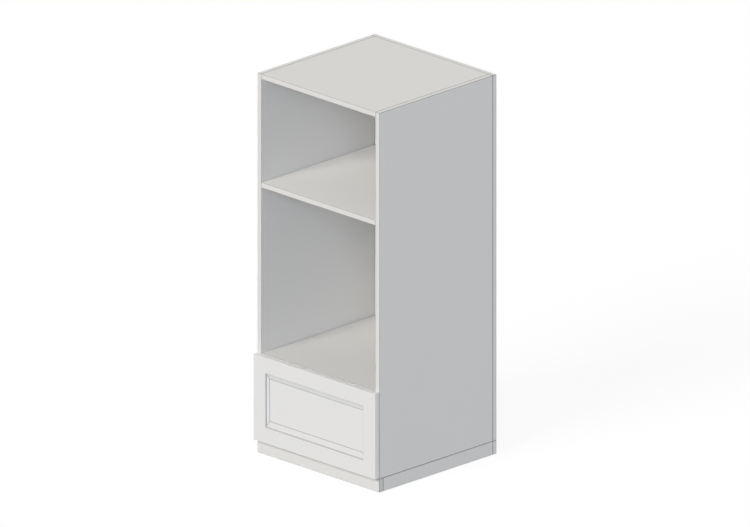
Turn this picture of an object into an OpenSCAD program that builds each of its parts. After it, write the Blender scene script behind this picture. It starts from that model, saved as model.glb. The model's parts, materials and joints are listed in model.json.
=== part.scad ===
// Tall kitchen housing unit: a microwave bay over an oven bay, with one deep
// drawer below them on a plinth. The front looks along -Y, +Z is up, and the
// origin is on the floor at the centre of the cabinet's outline.

/* [Cabinet] */
// Width over both side panels
cabinet_w = 600; // [500:1:900]
// Depth from the front edges of the side panels to the back panel's rear face
cabinet_d = 577; // [560:1:650]
// Clear height of the microwave bay
microwave_bay_h = 381; // [300:1:600]
// Clear height of the oven bay
oven_bay_h = 611; // [500:1:900]
// Clear height of the drawer bay
drawer_bay_h = 282; // [262:1:500]
// Thickness of the side panels and of the four cross panels
board_t = 19; // [16:0.5:22]
// Thickness of the back panel
back_t = 19; // [12:0.5:22]
// Thickness of the plastic edging on the front edges
edging_t = 1; // [0.5:0.1:2]

/* [Ventilation] */
// Distance of the vent notches and back cut-outs from the side panels
vent_margin = 81; // [70:1:150]
// Depth of the vent notches behind the oven and the microwave
vent_notch_d = 45; // [20:1:50]
// Height of the vent and cable cut-outs in the back panel
vent_cut_h = 90; // [50:1:150]
// Distance of the back cut-outs below the top of their bay
vent_cut_drop = 40; // [20:1:100]
// Corner radius of the notches and cut-outs
vent_r = 15; // [5:1:18]

/* [Plinth] */
// Height of the plinth
plinth_h = 50; // [40:1:150]
// Thickness of the plinth boards
plinth_t = 19; // [16:0.5:25]
// Side of the square corner blocks
block_w = 40; // [25:1:60]

/* [Drawer front] */
// Thickness of the drawer front
front_t = 19; // [18:0.5:25]
// Air between the drawer front and the cabinet's front edges
front_standoff = 1; // [0.8:0.1:3]
// Amount by which each end of the drawer front stays inside the cabinet's side
front_side_reveal = 1; // [0:0.1:3]
// Gap under the drawer front, and between its top edge and the oven floor
front_edge_reveal = 1.5; // [0.5:0.1:4]
// Width of the frame around the sunk centre field
frame_w = 59.5; // [50:0.5:64]
// Depth of the square step at the inner edge of the frame
recess_wall = 4; // [1:0.5:5]
// Further depth of the sloping moulding below the step
recess_slope = 8; // [2:0.5:8]
// Width of the sloping moulding along the two stiles
stile_slope_w = 8; // [4:0.5:20]
// Width of the sloping moulding along the two rails
rail_slope_w = 21; // [4:0.5:25]

/* [Drawer box] */
// Height of the drawer box
box_h = 200; // [120:1:220]
// Air between the closed drawer box and the back panel
drawer_rear_air = 59; // [20:1:150]
// Thickness of the drawer box's sides, front and back
box_t = 16; // [12:0.5:19]
// Thickness of the drawer bottom
box_bottom_t = 8; // [5:0.5:10]
// Depth of the groove that holds the drawer bottom
groove_d = 8; // [4:0.5:8]
// Height of the groove above the lower edge of the drawer box
groove_up = 12; // [10:1:20]
// Height of the drawer box above the bottom panel
box_rise = 20; // [10:1:40]
// How much less than the runners' length the drawer pulls out
travel_short = 15; // [10:1:100]

/* [Runners] */
// Height of the runners' centre line above the drawer box's lower edge
runner_up = 60; // [55:1:70]
// Setback of the runners behind the cabinet's front edges
runner_setback = 3; // [2:0.5:10]
// Radius of the runner balls
ball_r = 1.75; // [1.6:0.05:1.8]
// Air between a ball and its track
track_air = 0.1; // [0.05:0.01:0.15]
// Pitch of the balls in their retainers
ball_pitch = 20; // [10:1:30]
// Bore of the access holes in the middle members
access_r = 7; // [5:0.5:9]

/* [Hidden] */
$fn = 64;

// Heights of the cross panels' undersides and of the bay floors
bottom_z = plinth_h;
drawer_bay_z = bottom_z + board_t;
deck_z = drawer_bay_z + drawer_bay_h;
oven_bay_z = deck_z + board_t;
shelf_z = oven_bay_z + oven_bay_h;
microwave_bay_z = shelf_z + board_t;
top_z = microwave_bay_z + microwave_bay_h;
cabinet_h = top_z + board_t;
panel_levels = [bottom_z, deck_z, shelf_z, top_z];

// Places across and along the cabinet
half_w = cabinet_w / 2;
inner_w = cabinet_w - 2 * board_t;
vent_w = inner_w - 2 * vent_margin;
overall_d = cabinet_d + front_standoff + front_t;
front_y = -overall_d / 2;
front_back_y = front_y + front_t;
carcass_y = front_back_y + front_standoff;
rear_y = overall_d / 2;
back_y = rear_y - back_t;
panel_y = carcass_y + edging_t;
side_mid_x = half_w - board_t / 2;

// How far a cutter runs past the face that it opens
past = 1;

// Fittings at each end of a cross panel
fit_air = 0.05;
cam_setback = 70;
cam_inset = 34;
cam_r = 7.5;
cam_h = board_t / 2 + 4;
cam_bore_extra = 0.5;
cam_slot_r = 3.6;
cam_slot_past = 2;
cam_drive_w = 1.2;
cam_drive_d = 2;
bolt_thread_r = 2.5;
bolt_thread_l = 11;
bolt_shaft_r = 3.5;
bolt_shaft_l = 24;
bolt_neck_r = 2;
bolt_head_r = 3.2;
bolt_head_l = 5;
bolt_head_past = 1;
bolt_bore_r = 3.7;
blind_extra = 1;
cam_ys = [carcass_y + cam_setback, back_y - cam_setback];
dowel_step = 32;
dowel_r = 4;
dowel_in_side = 11;
dowel_in_panel = 19;
dowel_ys = [cam_ys[0] + dowel_step, (carcass_y + back_y) / 2, cam_ys[1] - dowel_step];

// Screws
screw_air = 0.1;
head_h = 2.6;
back_screw_r = 2.4;
back_screw_head_r = 4.8;
back_screw_l = 50;
side_screw_n = 6;
side_screw_margin = 90;
cross_screw_inset = 36;
cross_screw_x = inner_w / 2 - cross_screw_inset;
side_screw_zs = [
    for (i = [0 : side_screw_n - 1])
    bottom_z + side_screw_margin
        + i * (cabinet_h - bottom_z - 2 * side_screw_margin) / (side_screw_n - 1)
];
block_screw_r = 2.2;
block_screw_head_r = 4.4;
block_screw_recess = 6;
block_screw_bite = 12;
block_screw_l = plinth_h - block_screw_recess + block_screw_bite;

// Holes for fixing the cabinet to a wall
wall_hole_r = 4;
wall_hole_inset = 41;
wall_hole_drop = 25;
wall_hole_x = inner_w / 2 - wall_hole_inset;

// Drawer front
front_w = cabinet_w - 2 * front_side_reveal;
front_z = bottom_z + front_edge_reveal;
front_h = oven_bay_z - front_edge_reveal - front_z;
recess_d = recess_wall + recess_slope;
bumper_r = 5;
bumper_air = 0.3;
bumper_inset = 15;

// Runners: distances u run from the side panel towards the drawer box
runner_t = 12.7;
runner_h = 45;
sheet_t = 1.2;
box_y = front_back_y;
box_l = back_y - drawer_rear_air - box_y;
runner_y = carcass_y + runner_setback;
runner_rear_short = 1;
runner_l = box_y + box_l - runner_rear_short - runner_y;
drawer_travel = runner_l - travel_short;
middle_front_gap = 2;
stop_t = 2;
stop_h = 8;
stop_gap = 0.5;
middle_l = runner_l - middle_front_gap - stop_t - stop_gap;
track_r = ball_r + track_air + sheet_t / 2;
outer_ball = [5, runner_h / 2 - sheet_t / 2 - track_r];
row_step_u = 3.5;
row_step_v = sqrt(4 * track_r * track_r - row_step_u * row_step_u);
inner_ball = outer_ball + [row_step_u, -row_step_v];
handover = atan2(row_step_v, row_step_u);
middle_web_u = 3.3;
middle_web_rise = 0.2;
fold_run = 0.9;
fold_rise = 1;
fold_ease = 0.1;
lip_angle = 20;
outer_wrap = 135;
middle_wrap = -120;
handover_lead = 12;
inner_wrap = [-60, -150];
screw_slot_half = 3;
access_slot_half = 6;
retainer_t = 0.5;
retainer_hole_r = ball_r + 0.15;
retainer_rim = 0.5;
retainer_end_air = 20;
retainer_l = runner_l - drawer_travel / 2 - 2 * retainer_end_air;
retainer_web_t = 0.6;
outer_retainer_u = 1.65;
inner_retainer_u = 4.4;
inner_retainer_drop = 0.12;
retainer_bar_l = 20;
retainer_lip = 3;
ball_margin = 4;
ball_count = floor((retainer_l - 2 * ball_margin) / ball_pitch);
runner_mid_y = runner_y + runner_l / 2;
runner_screw_r = 1.9;
runner_screw_head_r = 3.6;
runner_screw_head_h = 1;
runner_screw_l = 13;
box_screw_l = 12;
front_hole_setback = 35;
rear_hole_setback = 30;
mid_hole_offset = 30;
runner_screw_ys = [
    runner_y + front_hole_setback,
    runner_mid_y + mid_hole_offset,
    runner_y + runner_l - rear_hole_setback
];

// Drawer box
box_w = inner_w - 2 * runner_t;
box_inner_w = box_w - 2 * box_t;
box_z = drawer_bay_z + box_rise;
groove_air = 0.15;
groove_z = box_z + groove_up;
runner_z = box_z + runner_up;
corner_dowel_margin = 20;
corner_dowel_low = groove_z + box_bottom_t + corner_dowel_margin;
corner_dowel_high = box_z + box_h - corner_dowel_margin;
corner_dowel_mid = (corner_dowel_low + corner_dowel_high) / 2;
corner_dowel_zs = [corner_dowel_low, corner_dowel_mid, corner_dowel_high];
corner_dowel_cover = 5;
corner_dowel_in_side = box_t - corner_dowel_cover;
corner_dowel_in_end = 19;
corner_bore_extra = 0.5;
front_screw_r = 2;
front_screw_head_r = 4;
front_screw_bite = 11;
front_screw_inset = 6.4;
front_screw_x = box_inner_w / 2 - front_screw_inset;
front_screw_zs = [
    (corner_dowel_low + corner_dowel_mid) / 2, (corner_dowel_mid + corner_dowel_high) / 2
];

// Release lever of a runner
lever_l = 62;
lever_w = 8;
lever_t = 3;
lever_u = 7.8;
lever_pin_r = 2;
lever_pin_air = 0.05;
lever_setback = 110;
lever_y = runner_y + lever_setback;
lever_tip_r = 5;
lever_hub_r = 5;
lever_toe_l = 12;
lever_toe_r = 3;
lever_neck_w = 4;
rivet_head_r = 3;
rivet_head_t = 0.6;
rivet_head_air = 0.2;

carcass_colour = [0.86, 0.85, 0.83];
edging_colour = [0.87, 0.86, 0.84];
front_colour = [0.9, 0.9, 0.89];
box_colour = [0.88, 0.87, 0.85];
steel_colour = [0.66, 0.67, 0.69];
beech_colour = [0.8, 0.66, 0.47];
zinc_colour = [0.72, 0.72, 0.7];
lever_colour = [0.14, 0.14, 0.15];
bumper_colour = [0.9, 0.9, 0.88];

// ---- helpers ----

// The left-hand piece and its mirror image on the right
module both() {
    children();
    mirror([1, 0, 0]) children();
}

// An outline in X and Z, extruded along Y from y to y + l
module along_y(y, l) {
    translate([0, y + l, 0]) rotate([90, 0, 0]) linear_extrude(l) children();
}

// A board between two corners
module board(low, high) {
    translate(low) cube(high - low);
}

// The middle of a cross panel's left end, with local Z pointing into the panel
module at_panel_end(y, z) {
    translate([-inner_w / 2, y, z + board_t / 2]) rotate([0, 90, 0]) children();
}

// The same spots at all four panels and at both ends
module at_all_panel_ends(ys) {
    both() for (z = panel_levels, y = ys) at_panel_end(y, z) children();
}

// A countersunk screw along +Z with its head's flat face at the origin
module countersunk(r, head_r, l, grow = 0) {
    cylinder(h = head_h, r1 = head_r + grow, r2 = r + grow);
    cylinder(h = l + grow, r = r + grow);
}

// Points of an arc in a runner's section
function arc(c, r, a0, a1, n = 6) = [
    for (i = [0 : n])
    let (a = a0 + (a1 - a0) * i / n)
    c + r * [cos(a), sin(a)]
];

// Unit direction of a vector, and the mitred normal at one point of a path
function unit(v) = v / norm(v);
function turned(v) = [-v[1], v[0]];
function normal_at(p, i) =
    let (last = len(p) - 1)
    let (before = turned(unit(i == 0 ? p[1] - p[0] : p[i] - p[i - 1])))
    let (after = turned(unit(i == last ? p[i] - p[i - 1] : p[i + 1] - p[i])))
    (before + after) / (1 + before * after);

// The outline of a folded sheet of one thickness along a centre path
function folded(p, t) = concat(
    [for (i = [0 : len(p) - 1]) p[i] + normal_at(p, i) * t / 2],
    [for (i = [len(p) - 1 : -1 : 0]) p[i] - normal_at(p, i) * t / 2]
);

// The whole path of a channel, from the path of its upper half
function channel(upper) = concat(
    [for (i = [len(upper) - 1 : -1 : 0]) [upper[i][0], -upper[i][1]]],
    upper
);

// ---- carcass ----

// Bores in the left side panel for the bolts and dowels of the cross panels
module side_joint_bores() {
    for (z = panel_levels) {
        for (y = cam_ys)
            at_panel_end(y, z) mirror([0, 0, 1])
                cylinder(h = bolt_thread_l + blind_extra, r = bolt_thread_r + fit_air);
        for (y = dowel_ys)
            at_panel_end(y, z) mirror([0, 0, 1])
                cylinder(h = dowel_in_side + blind_extra, r = dowel_r + fit_air);
    }
}

// Pilot bores in the left side panel for the runner screws
module side_runner_bores() {
    for (y = runner_screw_ys)
        translate([-inner_w / 2, y, runner_z]) rotate([0, -90, 0])
            cylinder(h = runner_screw_l + blind_extra - sheet_t, r = runner_screw_r + fit_air);
}

module side_panel() {
    difference() {
        board([-half_w, panel_y, bottom_z], [-inner_w / 2, back_y, cabinet_h]);
        side_joint_bores();
        side_runner_bores();
        at_back_screws() countersunk(back_screw_r, back_screw_head_r, back_screw_l, screw_air);
    }
}

module side_left() {
    color(carcass_colour) side_panel();
}

module side_right() {
    color(carcass_colour) mirror([1, 0, 0]) side_panel();
}

// A vent notch in the rear edge of a cross panel, with round inner corners
module vent_notch(z) {
    notch_y = back_y - vent_notch_d;
    notch_h = board_t + 2 * past;
    translate([-vent_w / 2, notch_y + vent_r, z - past]) cube([vent_w, vent_notch_d, notch_h]);
    translate([-vent_w / 2 + vent_r, notch_y, z - past])
        cube([vent_w - 2 * vent_r, vent_notch_d, notch_h]);
    for (x = [-1, 1])
        translate([x * (vent_w / 2 - vent_r), notch_y + vent_r, z - past])
            cylinder(h = notch_h, r = vent_r);
}

// One cross panel with the bores of its fittings; the cams go in from below
module cross_panel(z) {
    difference() {
        board([-inner_w / 2, panel_y, z], [inner_w / 2, back_y, z + board_t]);
        both() {
            for (y = cam_ys) {
                at_panel_end(y, z) cylinder(h = cam_inset, r = bolt_bore_r);
                translate([-inner_w / 2 + cam_inset, y, z - past])
                    cylinder(h = cam_h + cam_bore_extra + past, r = cam_r + fit_air);
            }
            for (y = dowel_ys)
                at_panel_end(y, z) cylinder(h = dowel_in_panel + blind_extra, r = dowel_r + fit_air);
        }
        at_back_screws() countersunk(back_screw_r, back_screw_head_r, back_screw_l, screw_air);
    }
}

module top_panel() {
    color(carcass_colour) cross_panel(top_z);
}

module middle_shelf() {
    color(carcass_colour) difference() {
        cross_panel(shelf_z);
        vent_notch(shelf_z);
    }
}

module drawer_deck() {
    color(carcass_colour) difference() {
        cross_panel(deck_z);
        vent_notch(deck_z);
    }
}

module bottom_panel() {
    color(carcass_colour) difference() {
        cross_panel(bottom_z);
        at_block_screws()
            cylinder(h = block_screw_l + blind_extra, r = block_screw_r + fit_air);
    }
}

// Spots of the screws through the back panel, with local Z pointing forward
module at_back_screws() {
    both() {
        for (z = side_screw_zs)
            translate([-side_mid_x, rear_y, z]) rotate([90, 0, 0]) children();
        for (z = panel_levels)
            translate([-cross_screw_x, rear_y, z + board_t / 2]) rotate([90, 0, 0]) children();
    }
}

// A cut-out in the back panel for air and for the appliance's cable
module back_cut_out(bay_top) {
    low = bay_top - vent_cut_drop - vent_cut_h;
    span = back_t + 2 * past;
    translate([-vent_w / 2, back_y - past, low + vent_r])
        cube([vent_w, span, vent_cut_h - 2 * vent_r]);
    translate([-vent_w / 2 + vent_r, back_y - past, low])
        cube([vent_w - 2 * vent_r, span, vent_cut_h]);
    for (x = [-1, 1], z = [low + vent_r, low + vent_cut_h - vent_r])
        translate([x * (vent_w / 2 - vent_r), rear_y + past, z])
            rotate([90, 0, 0]) cylinder(h = span, r = vent_r);
}

module back_panel() {
    color(carcass_colour) difference() {
        board([-half_w, back_y, bottom_z], [half_w, rear_y, cabinet_h]);
        back_cut_out(top_z);
        back_cut_out(shelf_z);
        at_back_screws() countersunk(back_screw_r, back_screw_head_r, back_screw_l, screw_air);
        for (x = [-1, 1])
            translate([x * wall_hole_x, rear_y + past, top_z - wall_hole_drop])
                rotate([90, 0, 0]) cylinder(h = back_t + 2 * past, r = wall_hole_r);
    }
}

// Plastic edging on the front edges of the side panels
module side_edging() {
    color(edging_colour) both()
        board([-half_w, carcass_y, bottom_z], [-inner_w / 2, panel_y, cabinet_h]);
}

// Plastic edging on the front edges of the cross panels
module cross_edging() {
    color(edging_colour) for (z = panel_levels)
        board([-inner_w / 2, carcass_y, z], [inner_w / 2, panel_y, z + board_t]);
}

// ---- carcass fittings ----

module panel_dowels() {
    color(beech_colour) at_all_panel_ends(dowel_ys)
        translate([0, 0, -dowel_in_side]) cylinder(h = dowel_in_side + dowel_in_panel, r = dowel_r);
}

module cam_discs() {
    color(zinc_colour) both() for (z = panel_levels, y = cam_ys) difference() {
        translate([-inner_w / 2 + cam_inset, y, z]) cylinder(h = cam_h, r = cam_r);
        at_panel_end(y, z) cylinder(h = cam_inset + cam_slot_past, r = cam_slot_r);
        translate([-inner_w / 2 + cam_inset, y, z - past]) {
            translate([-cam_r / 2, -cam_drive_w / 2, 0])
                cube([cam_r, cam_drive_w, cam_drive_d + past]);
            translate([-cam_drive_w / 2, -cam_r / 2, 0])
                cube([cam_drive_w, cam_r, cam_drive_d + past]);
        }
    }
}

module cam_bolts() {
    color(zinc_colour) at_all_panel_ends(cam_ys) {
        translate([0, 0, -bolt_thread_l]) cylinder(h = bolt_thread_l, r = bolt_thread_r);
        cylinder(h = bolt_shaft_l, r = bolt_shaft_r);
        cylinder(h = cam_inset, r = bolt_neck_r);
        translate([0, 0, cam_inset + bolt_head_past - bolt_head_l])
            cylinder(h = bolt_head_l, r = bolt_head_r);
    }
}

module back_screws() {
    color(zinc_colour) at_back_screws()
        countersunk(back_screw_r, back_screw_head_r, back_screw_l);
}

// ---- plinth ----

module plinth_front() {
    color(carcass_colour)
        board([-half_w, carcass_y, 0], [half_w, carcass_y + plinth_t, plinth_h]);
}

module plinth_back() {
    color(carcass_colour) board([-half_w, rear_y - plinth_t, 0], [half_w, rear_y, plinth_h]);
}

module plinth_left() {
    color(carcass_colour)
        board([-half_w, carcass_y + plinth_t, 0], [-half_w + plinth_t, rear_y - plinth_t, plinth_h]);
}

module plinth_right() {
    color(carcass_colour)
        board([half_w - plinth_t, carcass_y + plinth_t, 0], [half_w, rear_y - plinth_t, plinth_h]);
}

module plinth_stretcher() {
    color(carcass_colour)
        board([-plinth_t / 2, carcass_y + plinth_t, 0], [plinth_t / 2, rear_y - plinth_t, plinth_h]);
}

// Centres of the four corner blocks
module at_blocks() {
    inset = plinth_t + block_w / 2;
    both() for (y = [carcass_y + inset, rear_y - inset])
        translate([-half_w + inset, y, 0]) children();
}

module at_block_screws() {
    at_blocks() translate([0, 0, block_screw_recess]) children();
}

module plinth_blocks() {
    color(beech_colour) difference() {
        at_blocks() translate([-block_w / 2, -block_w / 2, 0]) cube([block_w, block_w, plinth_h]);
        at_block_screws() {
            countersunk(block_screw_r, block_screw_head_r, block_screw_l, screw_air);
            translate([0, 0, -block_screw_recess - past])
                cylinder(h = block_screw_recess + past, r = block_screw_head_r + screw_air);
        }
    }
}

module block_screws() {
    color(zinc_colour) at_block_screws()
        countersunk(block_screw_r, block_screw_head_r, block_screw_l);
}

// ---- runners ----

// A runner member of the left side, from the centre path of its upper half
module member(upper, y, l) {
    translate([-inner_w / 2, 0, runner_z]) along_y(y, l) polygon(folded(channel(upper), sheet_t));
}

// Slots through a member's web at the screw places, along Y
module web_slots(ys, r, half_l) {
    depth = runner_t + 2 * past;
    for (y = ys) translate([-inner_w / 2 - past, y, runner_z]) {
        translate([0, -half_l, -r]) cube([depth, 2 * half_l, 2 * r]);
        for (end = [-1, 1])
            translate([0, end * half_l, 0]) rotate([0, 90, 0]) cylinder(h = depth, r = r);
    }
}

// Cabinet member: its web lies on the side panel and its lips hold the outer balls
module outer_member() {
    web_u = sheet_t / 2;
    shoulder = outer_ball + track_r * [cos(outer_wrap), sin(outer_wrap)];
    upper = concat(
        [[web_u, shoulder[1] - fold_rise], [web_u + fold_run, shoulder[1] - fold_ease]],
        arc(outer_ball, track_r, outer_wrap, lip_angle, 8)
    );
    difference() {
        member(upper, runner_y, runner_l);
        web_slots(runner_screw_ys, runner_screw_r + screw_air, screw_slot_half);
    }
    translate([-inner_w / 2 + sheet_t, runner_y + runner_l - stop_t, runner_z - stop_h / 2])
        cube([middle_web_u, stop_t, stop_h]);
}

// Middle member: an outward track for the outer balls and an inward one beside it
module middle_member() {
    upper = concat(
        [[middle_web_u, inner_ball[1] + middle_web_rise]],
        arc(outer_ball, track_r, middle_wrap, -handover, 6),
        arc(inner_ball, track_r, 180 - handover - handover_lead, lip_angle, 8)
    );
    difference() {
        member(upper, runner_y + middle_front_gap, middle_l);
        web_slots(runner_screw_ys, access_r, access_slot_half);
    }
}

// Drawer member: its web lies on the drawer side and its lips hold the inner balls
module inner_member() {
    web_u = runner_t - sheet_t / 2;
    track_v = inner_ball[1] - track_r;
    rivet_u = lever_u - rivet_head_air - rivet_head_t;
    upper = concat(
        [[web_u, track_v - fold_rise], [web_u - fold_run, track_v]],
        arc(inner_ball, track_r, inner_wrap[0], inner_wrap[1], 8)
    );
    difference() {
        member(upper, runner_y, runner_l);
        web_slots(runner_screw_ys, runner_screw_r + screw_air, screw_slot_half);
    }
    translate([-inner_w / 2 + rivet_u, lever_y, runner_z]) rotate([0, 90, 0]) {
        cylinder(h = web_u - rivet_u, r = lever_pin_r);
        cylinder(h = rivet_head_t, r = rivet_head_r);
    }
}

module runner_outer_left() {
    color(steel_colour) outer_member();
}

module runner_outer_right() {
    color(steel_colour) mirror([1, 0, 0]) outer_member();
}

module runner_middle_left() {
    color(steel_colour) middle_member();
}

module runner_middle_right() {
    color(steel_colour) mirror([1, 0, 0]) middle_member();
}

module runner_inner_left() {
    color(steel_colour) inner_member();
}

module runner_inner_right() {
    color(steel_colour) mirror([1, 0, 0]) inner_member();
}

// Places of one retainer's balls along Y, centred on the member
ball_ys = [for (i = [0 : ball_count - 1]) runner_mid_y + (i - (ball_count - 1) / 2) * ball_pitch];

// Upper and lower balls of one row, at a centre given in the runner's section
module ball_rows(centre) {
    for (y = ball_ys, up = [-1, 1])
        translate([-inner_w / 2 + centre[0], y, runner_z + up * centre[1]]) sphere(r = ball_r);
}

// Retainer strips above and below, pierced for the balls, with a folded lip
module retainer_strips(centre, u, drop) {
    for (up = [-1, 1]) difference() {
        translate([-inner_w / 2, runner_mid_y - retainer_l / 2, runner_z]) {
            translate([u, 0, up * (centre[1] - drop) - retainer_t / 2])
                cube([centre[0] + retainer_hole_r + retainer_rim - u, retainer_l, retainer_t]);
            translate([u, 0, up * (centre[1] - drop - retainer_lip / 2) - retainer_lip / 2])
                cube([retainer_web_t, retainer_l, retainer_lip]);
        }
        for (y = ball_ys)
            translate([-inner_w / 2 + centre[0], y, runner_z + up * centre[1] - ball_r])
                cylinder(h = 2 * ball_r, r = retainer_hole_r);
    }
}

// Web that joins the two strips of a retainer
module retainer_web(centre, u, drop, l) {
    half_h = centre[1] - drop;
    translate([-inner_w / 2 + u, runner_mid_y - l / 2, runner_z - half_h])
        cube([retainer_web_t, l, 2 * half_h]);
}

module outer_retainer() {
    retainer_strips(outer_ball, outer_retainer_u, 0);
    retainer_web(outer_ball, outer_retainer_u, 0, retainer_bar_l);
}

module inner_retainer() {
    retainer_strips(inner_ball, inner_retainer_u, inner_retainer_drop);
    retainer_web(inner_ball, inner_retainer_u, inner_retainer_drop, retainer_l);
}

module outer_retainer_left() {
    color(zinc_colour) outer_retainer();
}

module outer_balls_left() {
    color(steel_colour) ball_rows(outer_ball);
}

module outer_retainer_right() {
    color(zinc_colour) mirror([1, 0, 0]) outer_retainer();
}

module outer_balls_right() {
    color(steel_colour) mirror([1, 0, 0]) ball_rows(outer_ball);
}

module inner_retainer_left() {
    color(zinc_colour) inner_retainer();
}

module inner_balls_left() {
    color(steel_colour) ball_rows(inner_ball);
}

module inner_retainer_right() {
    color(zinc_colour) mirror([1, 0, 0]) inner_retainer();
}

module inner_balls_right() {
    color(steel_colour) mirror([1, 0, 0]) ball_rows(inner_ball);
}

// A low-headed runner screw along +Z, its head standing up from the origin
module runner_screw(l) {
    cylinder(h = runner_screw_head_h, r = runner_screw_head_r);
    translate([0, 0, -l]) cylinder(h = l, r = runner_screw_r);
}

module cabinet_runner_screws() {
    color(zinc_colour) both() for (y = runner_screw_ys)
        translate([-inner_w / 2 + sheet_t, y, runner_z]) rotate([0, 90, 0])
            runner_screw(runner_screw_l);
}

module drawer_runner_screws() {
    color(zinc_colour) both() for (y = runner_screw_ys)
        translate([-box_w / 2 - sheet_t, y, runner_z]) rotate([0, -90, 0])
            runner_screw(box_screw_l);
}

// Plastic catch lever on a drawer member, turning on its rivet
module release_lever() {
    translate([-inner_w / 2 + lever_u, lever_y, runner_z]) rotate([0, 90, 0]) difference() {
        union() {
            translate([-lever_w / 2, 0, 0]) cube([lever_w, lever_l - lever_tip_r, lever_t]);
            cylinder(h = lever_t, r = lever_hub_r);
            translate([0, lever_l - lever_tip_r, 0]) cylinder(h = lever_t, r = lever_tip_r);
            translate([0, -lever_toe_l, 0]) cylinder(h = lever_t, r = lever_toe_r);
            translate([-lever_neck_w / 2, -lever_toe_l, 0])
                cube([lever_neck_w, lever_toe_l, lever_t]);
        }
        translate([0, 0, -past])
            cylinder(h = lever_t + 2 * past, r = lever_pin_r + lever_pin_air);
        translate([0, lever_l - lever_tip_r, -past])
            cylinder(h = lever_t + 2 * past, r = lever_tip_r / 2);
    }
}

module release_lever_left() {
    color(lever_colour) release_lever();
}

module release_lever_right() {
    color(lever_colour) mirror([1, 0, 0]) release_lever();
}

// ---- drawer ----

// The sunk centre field: a square step, then a slope that falls to the flat field.
// Each outline holds the recess's half width at every depth; the two cross at mitres.
module recess_outline(half, slope_w) {
    polygon([
        [-half, -past], [half, -past], [half, recess_wall],
        [half - slope_w, recess_d], [slope_w - half, recess_d], [-half, recess_wall]
    ]);
}

module front_recess() {
    translate([0, front_y, front_z + front_h / 2]) intersection() {
        translate([0, 0, -front_h / 2 + frame_w])
            linear_extrude(front_h - 2 * frame_w) recess_outline(front_w / 2 - frame_w, stile_slope_w);
        translate([-front_w / 2 + frame_w, 0, 0]) rotate([90, 0, 90])
            linear_extrude(front_w - 2 * frame_w) mirror([1, -1])
                recess_outline(front_h / 2 - frame_w, rail_slope_w);
    }
}

module drawer_front() {
    color(front_colour) difference() {
        board([-front_w / 2, front_y, front_z], [front_w / 2, front_back_y, front_z + front_h]);
        front_recess();
        at_front_screws()
            cylinder(h = box_t + front_screw_bite + blind_extra, r = front_screw_r + fit_air);
    }
}

// Spots of the screws through the box front, with local Z pointing forward
module at_front_screws() {
    both() for (z = front_screw_zs)
        translate([-front_screw_x, box_y + box_t, z]) rotate([90, 0, 0]) children();
}

// Cutter for the groove that runs around the inside of the drawer box
module bottom_groove() {
    board(
        [-box_inner_w / 2 - groove_d, box_y + box_t - groove_d, groove_z],
        [box_inner_w / 2 + groove_d, box_y + box_l - box_t + groove_d, groove_z + box_bottom_t]
    );
}

// Corner dowels of the drawer box, wider and longer when they cut their bores
module corner_dowels(wider = 0, longer = 0) {
    both() for (y = [box_y + box_t / 2, box_y + box_l - box_t / 2], z = corner_dowel_zs)
        translate([-box_inner_w / 2 - corner_dowel_in_side - longer, y, z]) rotate([0, 90, 0])
            cylinder(
                h = corner_dowel_in_side + corner_dowel_in_end + 2 * longer, r = dowel_r + wider
            );
}

module corner_bores() {
    corner_dowels(fit_air, corner_bore_extra);
}

module box_side() {
    difference() {
        board([-box_w / 2, box_y, box_z], [-box_inner_w / 2, box_y + box_l, box_z + box_h]);
        bottom_groove();
        corner_bores();
        for (y = runner_screw_ys)
            translate([-box_w / 2, y, runner_z]) rotate([0, 90, 0])
                cylinder(h = box_screw_l + blind_extra - sheet_t, r = runner_screw_r + fit_air);
    }
}

module box_side_left() {
    color(box_colour) box_side();
}

module box_side_right() {
    color(box_colour) mirror([1, 0, 0]) box_side();
}

module box_front() {
    color(box_colour) difference() {
        board([-box_inner_w / 2, box_y, box_z], [box_inner_w / 2, box_y + box_t, box_z + box_h]);
        bottom_groove();
        corner_bores();
        at_front_screws() countersunk(front_screw_r, front_screw_head_r, box_t + past, screw_air);
    }
}

module box_back() {
    color(box_colour) difference() {
        board(
            [-box_inner_w / 2, box_y + box_l - box_t, box_z],
            [box_inner_w / 2, box_y + box_l, box_z + box_h]
        );
        bottom_groove();
        corner_bores();
    }
}

module box_bottom() {
    color(box_colour) board(
        [
            groove_air - box_inner_w / 2 - groove_d,
            box_y + box_t - groove_d + groove_air,
            groove_z + groove_air / 2
        ],
        [
            box_inner_w / 2 + groove_d - groove_air,
            box_y + box_l - box_t + groove_d - groove_air,
            groove_z + box_bottom_t - groove_air / 2
        ]
    );
}

module box_dowels() {
    color(beech_colour) corner_dowels();
}

module front_screws() {
    color(zinc_colour) at_front_screws()
        countersunk(front_screw_r, front_screw_head_r, box_t + front_screw_bite);
}

// Thin pads on the back of the drawer front, where it meets the side panels
module bumper_pads() {
    color(bumper_colour) both()
        for (z = [front_z + bumper_inset, front_z + front_h - bumper_inset])
            translate([-side_mid_x, front_back_y, z]) rotate([-90, 0, 0])
                cylinder(h = front_standoff - bumper_air, r = bumper_r);
}

side_left();
side_right();
top_panel();
middle_shelf();
drawer_deck();
bottom_panel();
back_panel();
side_edging();
cross_edging();
panel_dowels();
cam_discs();
cam_bolts();
back_screws();
plinth_front();
plinth_back();
plinth_left();
plinth_right();
plinth_stretcher();
plinth_blocks();
block_screws();
runner_outer_left();
runner_outer_right();
cabinet_runner_screws();
runner_middle_left();
runner_middle_right();
outer_retainer_left();
outer_balls_left();
outer_retainer_right();
outer_balls_right();
inner_retainer_left();
inner_balls_left();
inner_retainer_right();
inner_balls_right();
runner_inner_left();
runner_inner_right();
drawer_runner_screws();
drawer_front();
box_side_left();
box_side_right();
box_front();
box_back();
box_bottom();
box_dowels();
front_screws();
bumper_pads();
release_lever_left();
release_lever_right();
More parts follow.
